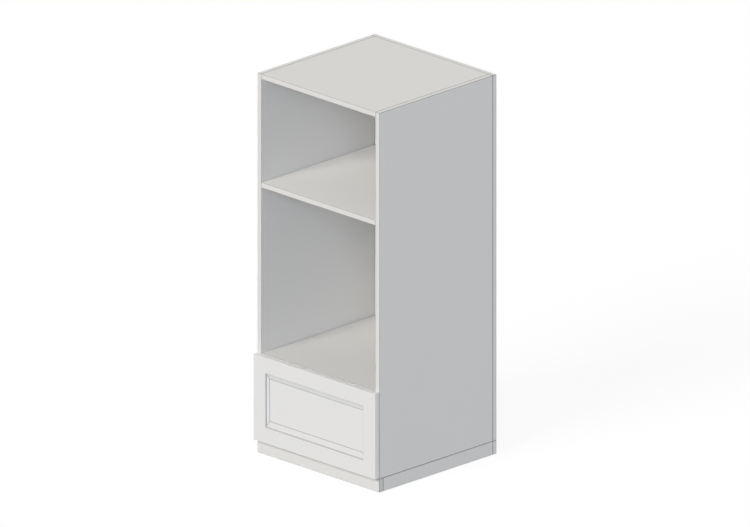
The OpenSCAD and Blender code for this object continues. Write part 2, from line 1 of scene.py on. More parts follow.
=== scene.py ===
"""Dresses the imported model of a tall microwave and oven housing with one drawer.

Run as a script, it adds rounded arrises, screw drives and procedural finishes to the
construction's own pieces, sets a plain studio round them and leaves the scene ready to
render. Every piece keeps the size and place that the frame gives it.
"""

import json
import math

import bmesh
import bpy
from bpy.props import FloatProperty, FloatVectorProperty, PointerProperty
from bpy.types import NodeSocket, Operator, Panel, PropertyGroup
from mathutils import Matrix, Vector


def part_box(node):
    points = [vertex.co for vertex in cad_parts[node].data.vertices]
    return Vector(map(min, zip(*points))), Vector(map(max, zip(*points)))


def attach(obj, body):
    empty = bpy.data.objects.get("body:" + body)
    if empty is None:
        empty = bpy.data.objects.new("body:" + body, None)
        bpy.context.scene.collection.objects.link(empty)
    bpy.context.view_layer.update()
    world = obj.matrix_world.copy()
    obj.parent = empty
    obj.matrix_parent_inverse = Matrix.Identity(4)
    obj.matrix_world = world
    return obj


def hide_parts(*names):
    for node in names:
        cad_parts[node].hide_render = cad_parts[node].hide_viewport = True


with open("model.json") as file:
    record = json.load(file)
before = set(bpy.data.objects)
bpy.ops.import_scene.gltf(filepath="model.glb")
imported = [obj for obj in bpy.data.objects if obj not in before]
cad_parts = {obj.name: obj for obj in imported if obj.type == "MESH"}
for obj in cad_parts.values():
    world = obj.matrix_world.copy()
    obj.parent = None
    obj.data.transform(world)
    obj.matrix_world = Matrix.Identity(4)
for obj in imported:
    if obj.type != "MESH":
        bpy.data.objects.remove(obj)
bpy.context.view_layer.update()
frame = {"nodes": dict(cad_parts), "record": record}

bl_info = {
    "name": "Microwave housing cabinet",
    "version": (1, 0, 0),
    "blender": (4, 5, 0),
    "location": "3D View > Sidebar > Cabinet",
    "description": "Finishes and stage of a tall housing with two open bays and a drawer",
    "category": "Object",
}

MM = 0.001
NODES = frame["nodes"]
RECORD = frame["record"]
BODY_OF = {
    node: body for body, nodes in RECORD["behaviour"]["bodies"].items() for node in nodes
}
SLOT_OF = {part["node"]: part["material_slot"] for part in RECORD["subparts"]}

HANDS = ("left", "right")
SIDES = ("side_left", "side_right")
CROSS_PANELS = ("top_panel", "middle_shelf", "drawer_deck", "bottom_panel")
EDGINGS = ("side_edging", "cross_edging")
PLINTH_BOARDS = (
    "plinth_front", "plinth_back", "plinth_left", "plinth_right", "plinth_stretcher",
)
BOX_BOARDS = ("box_side_left", "box_side_right", "box_front", "box_back", "box_bottom")
MEMBERS = tuple(
    f"runner_{row}_{hand}" for row in ("outer", "middle", "inner") for hand in HANDS
)
RETAINERS = tuple(
    f"{row}_retainer_{hand}" for row in ("outer", "inner") for hand in HANDS
)
BALLS = tuple(f"{row}_balls_{hand}" for row in ("outer", "inner") for hand in HANDS)
LEVERS = ("release_lever_left", "release_lever_right")


def colour_property(name, description, default):
    """A colour that the user can change."""
    return FloatVectorProperty(
        name=name,
        description=description,
        subtype="COLOR",
        size=3,
        min=0.0,
        max=1.0,
        default=default,
    )


def length_property(name, description, default):
    """A length in metres that the user can change."""
    return FloatProperty(
        name=name, description=description, unit="LENGTH", min=0.0, default=default
    )


def light_property(name, description, default):
    """A strength of light that the user can change."""
    return FloatProperty(name=name, description=description, default=default)


class CabinetSizes(PropertyGroup):
    """Small sizes that finish the construction's pieces."""

    board_arris: length_property(
        "Board arris", "Round on the outer edges of the boards", 1.4 * MM
    )
    band_arris: length_property(
        "Edge band arris", "Round on the front of the edge bands", 0.9 * MM
    )
    front_arris: length_property(
        "Front arris", "Round on the outer edges of the drawer front", 1.2 * MM
    )
    moulding_arris: length_property(
        "Moulding arris", "Round on the edges of the sunk field", 1.2 * MM
    )
    drive_width: length_property(
        "Drive slot", "Width of the cross slots in the screw heads", 0.9 * MM
    )


class CabinetColours(PropertyGroup):
    """Colours of the cabinet's finishes, in linear light."""

    melamine: colour_property(
        "Melamine", "Warm white face of the cabinet's boards", (0.700, 0.692, 0.671)
    )
    # Painted light: a lighter copy of the melamine on the shelf between the bays
    shelf: colour_property(
        "Microwave shelf",
        "Whiter face of the shelf between the bays",
        (0.800, 0.790, 0.766),
    )
    # Painted shade: a darker copy of the melamine on the plinth's front
    shaded_kick_board: colour_property(
        "Kick board",
        "Face of the plinth's front, greyed by shoes",
        (0.612, 0.603, 0.581),
    )
    band: colour_property(
        "Edge band", "Plastic band on the front edges", (0.600, 0.590, 0.568)
    )
    # The lacquer's forward faces get painted shade over this white; its sides keep it
    lacquer: colour_property(
        "Lacquer", "Neutral white paint of the drawer front", (0.760, 0.752, 0.739)
    )
    drawer_board: colour_property(
        "Drawer board", "White face of the drawer box", (0.690, 0.684, 0.664)
    )
    chips: colour_property(
        "Chipboard", "Core that shows in bores and cut-outs", (0.420, 0.285, 0.165)
    )
    steel: colour_property(
        "Runner steel", "Bright zinc on the runner members", (0.560, 0.570, 0.590)
    )
    strip: colour_property(
        "Retainer steel", "Bare strip of the ball retainers", (0.480, 0.475, 0.455)
    )
    ball: colour_property("Ball steel", "Polished balls", (0.720, 0.730, 0.745))
    zinc: colour_property("Cast zinc", "Cams and connecting bolts", (0.430, 0.430, 0.415))
    screw: colour_property("Screw zinc", "Plated screws", (0.560, 0.535, 0.440))
    beech: colour_property("Beech", "Dowels and corner blocks", (0.560, 0.370, 0.190))
    lever: colour_property(
        "Lever plastic", "Release levers of the runners", (0.016, 0.016, 0.018)
    )
    bumper: colour_property(
        "Bumper", "Pads behind the drawer front", (0.700, 0.700, 0.680)
    )


class CabinetStage(PropertyGroup):
    """Camera, floor and light."""

    view_width: length_property("View width", "Width that the camera takes in", 2.6102)
    aim_height: length_property(
        "Aim height", "Height above the floor that the camera looks at", 0.7011
    )
    wall_right: light_property("Right wall", "Glow of the studio's right wall", 1.05)
    wall_left: light_property("Left wall", "Glow of the studio's left wall", 1.25)
    wall_back: light_property("Back wall", "Glow of the studio's back wall", 1.0)
    key: light_property("Key light", "Strength of the wide soft lamp in front", 2.68)
    key_tint: colour_property("Key tint", "Colour of the key light", (1.0, 0.978, 0.940))
    fill: light_property(
        "Fill light", "Strength of the low soft lamp on the right", 1.004
    )
    fill_tint: colour_property(
        "Fill tint", "Colour of the fill light", (0.727, 0.813, 1.0)
    )
    floor_glow: light_property("Floor glow", "Light that the floor throws back", 0.3)
    floor_shadow: FloatProperty(
        name="Floor shadow",
        description="How much of the shadow shows on the floor",
        subtype="FACTOR",
        min=0.0,
        max=1.0,
        default=0.14,
    )


# ---- shader helpers ----


def feed(tree, socket, value):
    """Gives a socket its value, or a link where the value is a socket itself."""
    if isinstance(value, NodeSocket):
        tree.links.new(value, socket)
    else:
        socket.default_value = value


def add(tree, kind, props=None, **sockets):
    """A new node; its properties go in props, its sockets by name."""
    made = tree.nodes.new("ShaderNode" + kind)
    for key, value in (props or {}).items():
        setattr(made, key, value)
    for key, value in sockets.items():
        feed(tree, made.inputs[key.replace("_", " ")], value)
    return made


def calculated(tree, operation, *values):
    """The result of a Math node on values or sockets."""
    made = add(tree, "Math", {"operation": operation})
    for socket, value in zip(made.inputs, values):
        feed(tree, socket, value)
    return made.outputs[0]


def spread(tree, value, start, end, low=0.0, high=1.0):
    """A value's range from start to end, spread from low to high and clamped there."""
    ends = {"From_Min": start, "From_Max": end, "To_Min": low, "To_Max": high}
    return add(tree, "MapRange", Value=value, **ends).outputs["Result"]


def scaled(tree, value, low=0.0, high=1.0):
    """A 0 to 1 value, spread from low to high."""
    return spread(tree, value, 0.0, 1.0, low, high)


def varied(tree, value, middle, swing):
    """A 0 to 1 value, spread by a swing to both sides of a middle."""
    return scaled(tree, value, middle - swing, middle + swing)


def mix_colour(tree, blend, factor, first, second):
    """The colour output of a colour mix; factor and colours are values or sockets."""
    made = add(tree, "Mix", {"data_type": "RGBA", "blend_type": blend})
    colours = [socket for socket in made.inputs if socket.type == "RGBA"]
    for socket, value in zip((made.inputs[0], *colours), (factor, first, second)):
        feed(tree, socket, value)
    return next(socket for socket in made.outputs if socket.type == "RGBA")


def attribute(tree, name):
    """A number that the pieces' faces carry."""
    return add(tree, "Attribute", {"attribute_name": name}).outputs["Fac"]


def stretched_noise(tree, stretch, scale, detail):
    """Noise on Object coordinates, stretched by a factor along each axis."""
    place = add(tree, "TexCoord").outputs["Object"]
    mapped = add(tree, "Mapping", Vector=place, Scale=stretch).outputs["Vector"]
    return add(tree, "TexNoise", Vector=mapped, Scale=scale, Detail=detail).outputs["Fac"]


def new_group(name, inputs, outputs):
    """A new shader node group: its tree, the values given to it and its output node.

    Each input is a (name, kind, default) and each output a (name, kind).
    """
    tree = bpy.data.node_groups.new(name, "ShaderNodeTree")
    for socket_name, kind, default in inputs:
        socket = tree.interface.new_socket(
            socket_name, in_out="INPUT", socket_type="NodeSocket" + kind
        )
        socket.default_value = default
    for socket_name, kind in outputs:
        tree.interface.new_socket(
            socket_name, in_out="OUTPUT", socket_type="NodeSocket" + kind
        )
    given = tree.nodes.new("NodeGroupInput").outputs
    return tree, given, tree.nodes.new("NodeGroupOutput")


def put_out(tree, group_output, **values):
    """Links values to a group's outputs."""
    for key, value in values.items():
        tree.links.new(value, group_output.inputs[key])


# ---- shared effects ----

EVEN = (1.0, 1.0, 1.0)
WHITE = (1.0, 1.0, 1.0, 1.0)
GREY = (0.5, 0.5, 0.5, 1.0)

# Tones that the effects lay over a finish's own colour
# Painted shade: the dark tone laid on arrises and creases, where lines of shade fall
EDGE_SHADE_TONE = (0.25, 0.25, 0.26, 1.0)
# Painted shade: the tone laid on up-facing slopes
SLOPE_SHADE_TONE = (0.45, 0.44, 0.42, 1.0)
PALE_CHIP = (0.8, 0.7, 0.5, 1.0)
DARK_CHIP = (0.6, 0.5, 0.4, 1.0)
RING = (0.6, 0.42, 0.3, 1.0)
FLECK = (0.45, 0.3, 0.2, 1.0)
GREASE = (0.7, 0.68, 0.6, 1.0)
WORN_PLASTIC = (0.6, 0.6, 0.6, 1.0)

# Sizes of the patterns, in features per metre
CLOUDS = 2.6
PEARLS = 900.0
CHIPS = 620.0
CHIP_TONES = 300.0
DRAWN_LINES = 900.0
BLOOM = 60.0
RINGS = 90.0
FLECKS = 700.0
GREASE_FILM = 500.0
SPARKS = 1500.0

# Factors on the coordinates; a small one draws the pattern out along its axis
ALONG_SECTION = (1.0, 0.02, 1.0)
ALONG_RINGS = (1.0, 0.2, 0.12)
ALONG_FLECKS = (1.0, 1.0, 0.1)

# Rise (Z) or turn (Y) of a face's normal over which each painted shade sets in
SLOPE_SHADE_RISE = (0.05, 0.35)
UNSHADED_LEVEL_RISE = (0.6, 0.9)
FORWARD_TURN = (-0.1, -0.8)
FRONT_SHADE_RISE = (-0.45, -0.05)

# Share of the painted shade on forward faces that is left on faces that look most down
LEAST_FRONT_SHADE = 0.5


def sheet_face_group():
    """Faint clouding and pearl of a sheet face, with painted shade.

    Painted shade darkens its arrises and its up-facing slopes, but not its level faces.
    More painted shade greys the faces that look forward, and least those that also
    look down.
    """
    tree, given, out = new_group(
        "Sheet face",
        [
            ("Color", "Color", GREY),
            ("Cloud", "Float", 0.02),
            ("Arris Shade", "Float", 0.4),
            ("Dust", "Float", 0.0),
            ("Handling", "Float", 0.0),
        ],
        [("Color", "Color"), ("Pearl", "Float")],
    )
    normal = add(tree, "TexCoord").outputs["Normal"]
    facing = add(tree, "SeparateXYZ", Vector=normal).outputs

    patches = stretched_noise(tree, EVEN, CLOUDS, detail=3.0)
    clouds = calculated(tree, "MULTIPLY", patches, given["Cloud"])
    clouded = mix_colour(tree, "MULTIPLY", clouds, given["Color"], GREY)

    # Painted shade: arrises darkened where lines of shade fall at edges and seams
    edge_shading = calculated(tree, "MULTIPLY", attribute(tree, "arris"), given["Arris Shade"])
    edge_shaded = mix_colour(tree, "MULTIPLY", edge_shading, clouded, EDGE_SHADE_TONE)

    # Painted shade on up-facing slopes, left off level faces
    slopes = spread(tree, facing["Z"], *SLOPE_SHADE_RISE, high=given["Dust"])
    not_level = spread(tree, facing["Z"], *UNSHADED_LEVEL_RISE, low=1.0, high=0.0)
    slope_shade = calculated(tree, "MULTIPLY", slopes, not_level)
    slope_shaded = mix_colour(tree, "MULTIPLY", slope_shade, edge_shaded, SLOPE_SHADE_TONE)

    # Painted shade: forward-facing faces greyed, least those that also look down
    forward = spread(tree, facing["Y"], *FORWARD_TURN, high=given["Handling"])
    front_shade_share = spread(tree, facing["Z"], *FRONT_SHADE_RISE, low=LEAST_FRONT_SHADE)
    front_shade = calculated(tree, "MULTIPLY", forward, front_shade_share)
    front_shaded = mix_colour(tree, "MULTIPLY", front_shade, slope_shaded, GREY)

    pearls = stretched_noise(tree, EVEN, PEARLS, detail=2.0)
    put_out(tree, out, Color=front_shaded, Pearl=pearls)
    return tree


def chip_core_group():
    """Pressed wood chips of a board's core."""
    tree, given, out = new_group(
        "Chip core", [("Color", "Color", GREY)], [("Color", "Color"), ("Height", "Float")]
    )
    place = add(tree, "TexCoord").outputs["Object"]
    chips = add(tree, "TexVoronoi", Vector=place, Scale=CHIPS, Randomness=1.0).outputs
    tone = add(tree, "SeparateColor", Color=chips["Color"]).outputs["Red"]
    paleness = scaled(tree, tone, high=0.35)
    pale = mix_colour(tree, "SCREEN", paleness, given["Color"], PALE_CHIP)
    patches = stretched_noise(tree, EVEN, CHIP_TONES, detail=4.0)
    mottled = mix_colour(tree, "MULTIPLY", patches, pale, DARK_CHIP)
    put_out(tree, out, Color=mottled, Height=chips["Distance"])
    return tree


def drawn_metal_group():
    """Fine lines that rolling leaves along a steel section."""
    tree, given, out = new_group(
        "Drawn metal",
        [("Color", "Color", GREY), ("Streaks", "Float", 0.15)],
        [("Color", "Color"), ("Roughness", "Float"), ("Height", "Float")],
    )
    lines = stretched_noise(tree, ALONG_SECTION, DRAWN_LINES, detail=3.0)
    streaks = calculated(tree, "MULTIPLY", lines, given["Streaks"])
    streaked = mix_colour(tree, "MULTIPLY", streaks, given["Color"], GREY)
    bloom = stretched_noise(tree, EVEN, BLOOM, detail=4.0)
    rough = scaled(tree, bloom, low=0.26, high=0.44)
    put_out(tree, out, Color=streaked, Roughness=rough, Height=lines)
    return tree


def wood_grain_group():
    """Short flecks and soft rings of beech."""
    tree, given, out = new_group(
        "Wood grain", [("Color", "Color", GREY)], [("Color", "Color"), ("Height", "Float")]
    )
    rings = scaled(tree, stretched_noise(tree, ALONG_RINGS, RINGS, detail=3.0), high=0.5)
    ringed = mix_colour(tree, "MULTIPLY", rings, given["Color"], RING)
    flecks = stretched_noise(tree, ALONG_FLECKS, FLECKS, detail=2.0)
    flecked = mix_colour(tree, "MULTIPLY", scaled(tree, flecks, high=0.3), ringed, FLECK)
    put_out(tree, out, Color=flecked, Height=flecks)
    return tree


GROUP_MAKERS = {
    "Sheet face": sheet_face_group,
    "Chip core": chip_core_group,
    "Drawn metal": drawn_metal_group,
    "Wood grain": wood_grain_group,
}


def effect(tree, name, **sockets):
    """The outputs of a shared effect in a material; its group is made the first time."""
    made = tree.nodes.new("ShaderNodeGroup")
    made.node_tree = bpy.data.node_groups.get(name) or GROUP_MAKERS[name]()
    for key, value in sockets.items():
        made.inputs[key.replace("_", " ")].default_value = value
    return made.outputs


# ---- materials ----

# Heights of the faces' fine relief
PEARL_RELIEF = 0.05 * MM
LINE_RELIEF = 0.02 * MM
GRAIN_RELIEF = 0.1 * MM
SPARK_RELIEF = 0.03 * MM

CHIP_ROUGHNESS = 0.9

# Boards of a slightly different white than the others of their slot: a lighter copy is
# painted light on the shelf, a darker one painted shade on the plinth's front
OWN_FINISH = {"middle_shelf": "lit_shelf_board", "plinth_front": "shaded_kick_board"}


def rgba(colour):
    """A colour property with full alpha."""
    return (*colour, 1.0)


def new_material(name, **constants):
    """A material with an empty tree, its Principled shader and its output."""
    material = bpy.data.materials.new(name)
    material.use_nodes = True
    tree = material.node_tree
    tree.nodes.clear()
    shader = add(tree, "BsdfPrincipled", **constants)
    output = tree.nodes.new("ShaderNodeOutputMaterial")
    tree.links.new(shader.outputs["BSDF"], output.inputs["Surface"])
    return material, tree, shader


def cover(tree, shader, colour, roughness, height=None, strength=0.0, relief=0.0):
    """Feeds a shader a colour, a roughness and a height that vary over the surface."""
    tree.links.new(colour, shader.inputs["Base Color"])
    tree.links.new(roughness, shader.inputs["Roughness"])
    if height is not None:
        made = add(tree, "Bump", Height=height, Strength=strength, Distance=relief)
        tree.links.new(made.outputs["Normal"], shader.inputs["Normal"])


def faced_board(name, colour, chips, roughness, arris_shade=0.88):
    """Melamine on chipboard: the face outside, the chips where a tool has cut into it."""
    material, tree, shader = new_material(name, Specular_IOR_Level=0.35)
    face = effect(
        tree, "Sheet face", Color=rgba(colour), Cloud=0.03, Arris_Shade=arris_shade
    )
    core = effect(tree, "Chip core", Color=rgba(chips))
    cut = attribute(tree, "core")
    tone = mix_colour(tree, "MIX", cut, face["Color"], core["Color"])
    sheen = varied(tree, face["Pearl"], roughness, swing=0.05)
    rough = scaled(tree, cut, low=sheen, high=CHIP_ROUGHNESS)
    cover(tree, shader, tone, rough, face["Pearl"], strength=0.35, relief=PEARL_RELIEF)
    return material


def plain_sheet(name, colour, roughness, pearl, arris_shade, coat=0.0, **painted_shades):
    """A plastic band or a sprayed lacquer; its painted shades go on up-facing slopes and
    forward faces.
    """
    material, tree, shader = new_material(
        name, Specular_IOR_Level=0.35, Coat_Weight=coat, Coat_Roughness=0.25
    )
    tone = rgba(colour)
    face = effect(
        tree, "Sheet face", Color=tone, Cloud=0.02, Arris_Shade=arris_shade, **painted_shades
    )
    rough = varied(tree, face["Pearl"], roughness, swing=0.04)
    cover(tree, shader, face["Color"], rough, face["Pearl"], pearl, PEARL_RELIEF)
    return material


def metal(name, colour, streaks):
    """Steel or zinc with lines along its length."""
    material, tree, shader = new_material(name, Metallic=1.0)
    drawn = effect(tree, "Drawn metal", Color=rgba(colour), Streaks=streaks)
    tone, rough, lines = drawn["Color"], drawn["Roughness"], drawn["Height"]
    cover(tree, shader, tone, rough, lines, strength=0.12, relief=LINE_RELIEF)
    return material


def polished(name, colour):
    """Hard polished balls with a film of grease."""
    material, tree, shader = new_material(name, Metallic=1.0)
    film = stretched_noise(tree, EVEN, GREASE_FILM, detail=2.0)
    greasy = scaled(tree, film, high=0.2)
    tone = mix_colour(tree, "MULTIPLY", greasy, rgba(colour), GREASE)
    cover(tree, shader, tone, scaled(tree, film, low=0.08, high=0.2))
    return material


def bare_wood(name, colour):
    """Planed beech without a finish."""
    material, tree, shader = new_material(name, Specular_IOR_Level=0.25)
    grain = effect(tree, "Wood grain", Color=rgba(colour))
    tone, flecks = grain["Color"], grain["Height"]
    rough = scaled(tree, flecks, low=0.6, high=0.8)
    cover(tree, shader, tone, rough, flecks, strength=0.2, relief=GRAIN_RELIEF)
    return material


def moulded_plastic(name, colour, roughness):
    """Spark-eroded texture of a small moulding."""
    material, tree, shader = new_material(name, Specular_IOR_Level=0.4)
    spark = stretched_noise(tree, EVEN, SPARKS, detail=2.0)
    wear_and_edge_shade = scaled(tree, spark, high=0.03)
    tone = mix_colour(tree, "SCREEN", wear_and_edge_shade, rgba(colour), WORN_PLASTIC)
    rough = varied(tree, spark, roughness, swing=0.05)
    cover(tree, shader, tone, rough, spark, strength=0.2, relief=SPARK_RELIEF)
    return material


def finish(slot):
    """The material of a slot of the record or of OWN_FINISH, made when first asked for."""
    name = "finish_" + slot
    if name in bpy.data.materials:
        return bpy.data.materials[name]
    colours = bpy.context.scene.cabinet_colours
    makers = {
        "carcass_board": lambda: faced_board(
            name, colours.melamine, colours.chips, roughness=0.5
        ),
        # Painted light on the shelf
        "lit_shelf_board": lambda: faced_board(
            name, colours.shelf, colours.chips, roughness=0.5
        ),
        # Painted shade on the plinth's front
        "shaded_kick_board": lambda: faced_board(
            name, colours.shaded_kick_board, colours.chips, roughness=0.55
        ),
        "drawer_board": lambda: faced_board(
            name, colours.drawer_board, colours.chips, roughness=0.5, arris_shade=0.4
        ),
        "edging": lambda: plain_sheet(
            name, colours.band, roughness=0.45, pearl=0.05, arris_shade=0.7
        ),
        "front_paint": lambda: plain_sheet(
            name,
            colours.lacquer,
            roughness=0.4,
            pearl=0.1,
            arris_shade=0.7,
            coat=0.1,
            # Painted shade on the front's up-facing slopes and on its forward faces
            Dust=0.18,
            Handling=0.33,
        ),
        "runner_steel": lambda: metal(name, colours.steel, streaks=0.2),
        "retainer_steel": lambda: metal(name, colours.strip, streaks=0.3),
        "fitting_zinc": lambda: metal(name, colours.zinc, streaks=0.35),
        "screw_zinc": lambda: metal(name, colours.screw, streaks=0.15),
        "ball_steel": lambda: polished(name, colours.ball),
        "beech": lambda: bare_wood(name, colours.beech),
        "lever_plastic": lambda: moulded_plastic(name, colours.lever, roughness=0.45),
        "bumper_plastic": lambda: moulded_plastic(name, colours.bumper, roughness=0.5),
    }
    return makers[slot]()


# ---- pieces ----

# How close two places lie when they count as the same one
SAME_POINT = 0.001 * MM
SAME_SIDE = 0.02 * MM
SAME_JOINT = 0.05 * MM

# Turns between two faces: one flat, a crease of the moulding, shaded as one, a corner
FLAT_ANGLE = math.radians(0.5)
CREASE_ANGLE = math.radians(15.0)
SMOOTH_ANGLE = math.radians(35.0)
CORNER_ANGLE = math.radians(45.0)

# Least part of a normal that lies along an axis where the face is square to it
ALONG_AXIS = 0.999

ROUND_SEGMENTS = 3

# Shorter edges of the drawer front belong to its bores and the field's corners
SHORTEST_ROUND = 15.0 * MM

# Values of the arris mask, which paints edge shade, on the drawer front's moulding and
# outer edges
INNER_EDGE_SHADE = 1.0
OUTER_EDGE_SHADE = 0.18


def dress(node):
    """Gives a carried-over node its finish."""
    materials = NODES[node].data.materials
    materials.clear()
    materials.append(finish(SLOT_OF[node]))


def merged_copy(node):
    """A node's mesh as a bmesh with joined corners and whole flat faces."""
    bm = bmesh.new()
    bm.from_mesh(NODES[node].data)
    bm.faces.layers.float.new("arris")
    bm.faces.layers.float.new("core")
    bmesh.ops.remove_doubles(bm, verts=bm.verts, dist=SAME_POINT)
    bmesh.ops.dissolve_limit(bm, angle_limit=FLAT_ANGLE, verts=bm.verts, edges=bm.edges)
    return bm


def linked_object(bm, name):
    """A new object in the scene, with the mesh of a bmesh that it uses up."""
    mesh = bpy.data.meshes.new(name)
    bm.to_mesh(mesh)
    bm.free()
    made = bpy.data.objects.new(name, mesh)
    bpy.context.scene.collection.objects.link(made)
    return made


def piece_from(bm, name, node):
    """Turns a bmesh into the piece that stands for a node, on the node's body."""
    piece = linked_object(bm, name)
    piece.data.materials.append(finish(OWN_FINISH.get(node, SLOT_OF[node])))
    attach(piece, BODY_OF[node])
    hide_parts(node)
    return piece


def islands(bm):
    """The separate solids of a bmesh in the order of its faces, each a set of faces."""
    known, groups = set(), []
    for first in bm.faces:
        if first in known:
            continue
        group, waiting = {first}, [first]
        while waiting:
            near = {face for edge in waiting.pop().edges for face in edge.link_faces}
            waiting.extend(near - group)
            group |= near
        known |= group
        groups.append(group)
    return groups


def corners(faces):
    """Lowest and highest corner of some faces."""
    points = [vert.co for face in faces for vert in face.verts]
    return (
        Vector(min(point[axis] for point in points) for axis in range(3)),
        Vector(max(point[axis] for point in points) for axis in range(3)),
    )


def lies_outside(face, low, high):
    """True if a face lies on one side of the box round its solid."""
    axis = max(range(3), key=lambda i: abs(face.normal[i]))
    if abs(face.normal[axis]) < ALONG_AXIS:
        return False
    place = face.calc_center_median()[axis]
    return min(abs(place - low[axis]), abs(place - high[axis])) < SAME_SIDE


def rounded(bm, edges, width):
    """Rounds some edges, and gives back the faces of the rounds."""
    made = bmesh.ops.bevel(
        bm,
        geom=edges,
        offset=width,
        segments=ROUND_SEGMENTS,
        profile=0.5,
        affect="EDGES",
        clamp_overlap=True,
        material=-1,
    )
    return made["faces"]


def weigh_normals(piece):
    """Keeps wide faces flat to the eye beside their rounds."""
    piece.data.polygons.foreach_set("use_smooth", [True] * len(piece.data.polygons))
    piece.data.set_sharp_from_angle(angle=SMOOTH_ANGLE)
    weighted = piece.modifiers.new("Weighted normals", "WEIGHTED_NORMAL")
    weighted.keep_sharp = True


def round_boards(node, arris, joint_y=None):
    """A piece of boards: outer edges rounded, and what a tool cut marked as bare core.

    joint_y is the plane where a board and its edge band are glued, which stays sharp.
    """
    bm = merged_copy(node)
    core = bm.faces.layers.float["core"]
    wear_and_edge_shade = bm.faces.layers.float["arris"]
    outer_edges = set()
    for faces in islands(bm):
        low, high = corners(faces)
        outside = {face for face in faces if lies_outside(face, low, high)}
        for face in faces:
            face[core] = 0.0 if face in outside else 1.0
        for edge in {edge for face in outside for edge in face.edges}:
            if len(edge.link_faces) == 2 and outside.issuperset(edge.link_faces):
                outer_edges.add(edge)
    sharp = [edge for edge in outer_edges if edge.calc_face_angle() > CORNER_ANGLE]
    if joint_y is not None:
        sharp = [
            edge for edge in sharp
            if any(abs(vert.co.y - joint_y) >= SAME_JOINT for vert in edge.verts)
        ]
    # The rounds carry the arris mask, which paints shade on them
    for face in rounded(bm, sharp, arris):
        face[wear_and_edge_shade] = 1.0
        face[core] = 0.0
    weigh_normals(piece_from(bm, node + "_board", node))


def routed_front(node, outer_arris, moulding_arris):
    """The one-piece drawer front, with its outer edges and its moulding rounded."""
    bm = merged_copy(node)
    wear_and_edge_shade = bm.faces.layers.float["arris"]
    low, high = corners(bm.faces)
    long_edges = [
        edge for edge in bm.edges
        if len(edge.link_faces) == 2
        and edge.calc_length() > SHORTEST_ROUND
        and edge.calc_face_angle() > CREASE_ANGLE
    ]
    outer = [
        edge for edge in long_edges
        if all(lies_outside(face, low, high) for face in edge.link_faces)
    ]
    inner = [edge for edge in long_edges if edge not in outer]
    # Moulding rounds take full painted edge shade, outer rounds only a little
    for edges, width, edge_shade_share in (
        (inner, moulding_arris, INNER_EDGE_SHADE),
        (outer, outer_arris, OUTER_EDGE_SHADE),
    ):
        for face in rounded(bm, edges, width):
            face[wear_and_edge_shade] = edge_shade_share
    weigh_normals(piece_from(bm, node + "_routed", node))


def cross_cutter(spots, length, width, depth):
    """An object of crosses; each spot is a head's centre and the direction it faces."""
    bm = bmesh.new()
    scale = Matrix.Diagonal((length, width, 2 * depth, 1.0))
    for centre, facing in spots:
        turn = facing.to_track_quat("Z", "Y").to_matrix().to_4x4()
        for angle in (0.0, math.pi / 2):
            arm = turn @ Matrix.Rotation(angle, 4, "Z") @ scale
            bmesh.ops.create_cube(bm, size=1.0, matrix=Matrix.Translation(centre) @ arm)
    return linked_object(bm, "drive_cutter")


def backwards(middle):
    """Direction of a screw head that shows from behind."""
    return (0.0, 1.0, 0.0)


def downwards(middle):
    """Direction of a screw head that shows from below."""
    return (0.0, 0.0, -1.0)


def inwards(middle):
    """Direction of a screw head that shows from the cabinet's middle."""
    return (-math.copysign(1.0, middle.x), 0.0, 0.0)


def outwards(middle):
    """Direction of a screw head that shows from beside the drawer."""
    return (math.copysign(1.0, middle.x), 0.0, 0.0)


def screws_with_drives(node, facing_of, length, depth):
    """The screws of a node, with a cross drive sunk into each head.

    facing_of takes a screw's centre and gives the direction that its head faces.
    """
    bm = merged_copy(node)
    spots = []
    for faces in islands(bm):
        low, high = corners(faces)
        middle = (low + high) / 2
        facing = Vector(facing_of(middle))
        spots.append((middle + facing * abs((high - low).dot(facing)) / 2, facing))
    piece = piece_from(bm, node + "_driven", node)
    width = bpy.context.scene.cabinet_sizes.drive_width
    cutter = cross_cutter(spots, length, width, depth)
    cut = piece.modifiers.new("Drive", "BOOLEAN")
    cut.operation = "DIFFERENCE"
    cut.solver = "EXACT"
    cut.use_self = True
    cut.object = cutter
    evaluated = piece.evaluated_get(bpy.context.evaluated_depsgraph_get())
    finished = bpy.data.meshes.new_from_object(evaluated)
    piece.modifiers.clear()
    piece.data = finished
    bpy.data.objects.remove(cutter)


# ---- stage ----

# Azimuth 0 is the cabinet's front
VIEW_AZIMUTH = math.radians(45.0)
VIEW_ELEVATION = math.asin(1.0 / 3.0)
CAMERA_DISTANCE = 6.0
FLOOR_HALF = 30.0

# A little over white, because the dimmer lit floor with the shadow is mixed into it
FLOOR_WHITE = 1.02

# How fast a wall's glow falls off to its sides
WALL_FALLOFF = 2.0

# Azimuth, elevation and spread of each lamp
KEY_PLACE = (math.radians(0.0), math.radians(30.0), math.radians(30.0))
FILL_PLACE = (math.radians(45.0), math.radians(15.0), math.radians(25.0))


def towards(azimuth, elevation):
    """Unit vector to a place that is seen from the origin."""
    flat, rise = math.cos(elevation), math.sin(elevation)
    return Vector((math.sin(azimuth) * flat, -math.cos(azimuth) * flat, rise))


def make_camera(context, stage):
    """Parallel projection from the front right and a little above."""
    camera = bpy.data.objects.new("camera", bpy.data.cameras.new("camera"))
    camera.data.type = "ORTHO"
    camera.data.ortho_scale = stage.view_width
    back = towards(VIEW_AZIMUTH, VIEW_ELEVATION)
    camera.location = Vector((0.0, 0.0, stage.aim_height)) + back * CAMERA_DISTANCE
    camera.rotation_mode = "QUATERNION"
    camera.rotation_quaternion = (-back).to_track_quat("-Z", "Y")
    context.scene.collection.objects.link(camera)
    context.scene.camera = camera


def seen_directly(tree):
    """1 for rays that should meet the white studio: seen, mirrored and refracted ones."""
    path = add(tree, "LightPath").outputs
    seen = path["Is Camera Ray"]
    for kind in ("Is Glossy Ray", "Is Transmission Ray"):
        seen = calculated(tree, "MAXIMUM", seen, path[kind])
    return seen


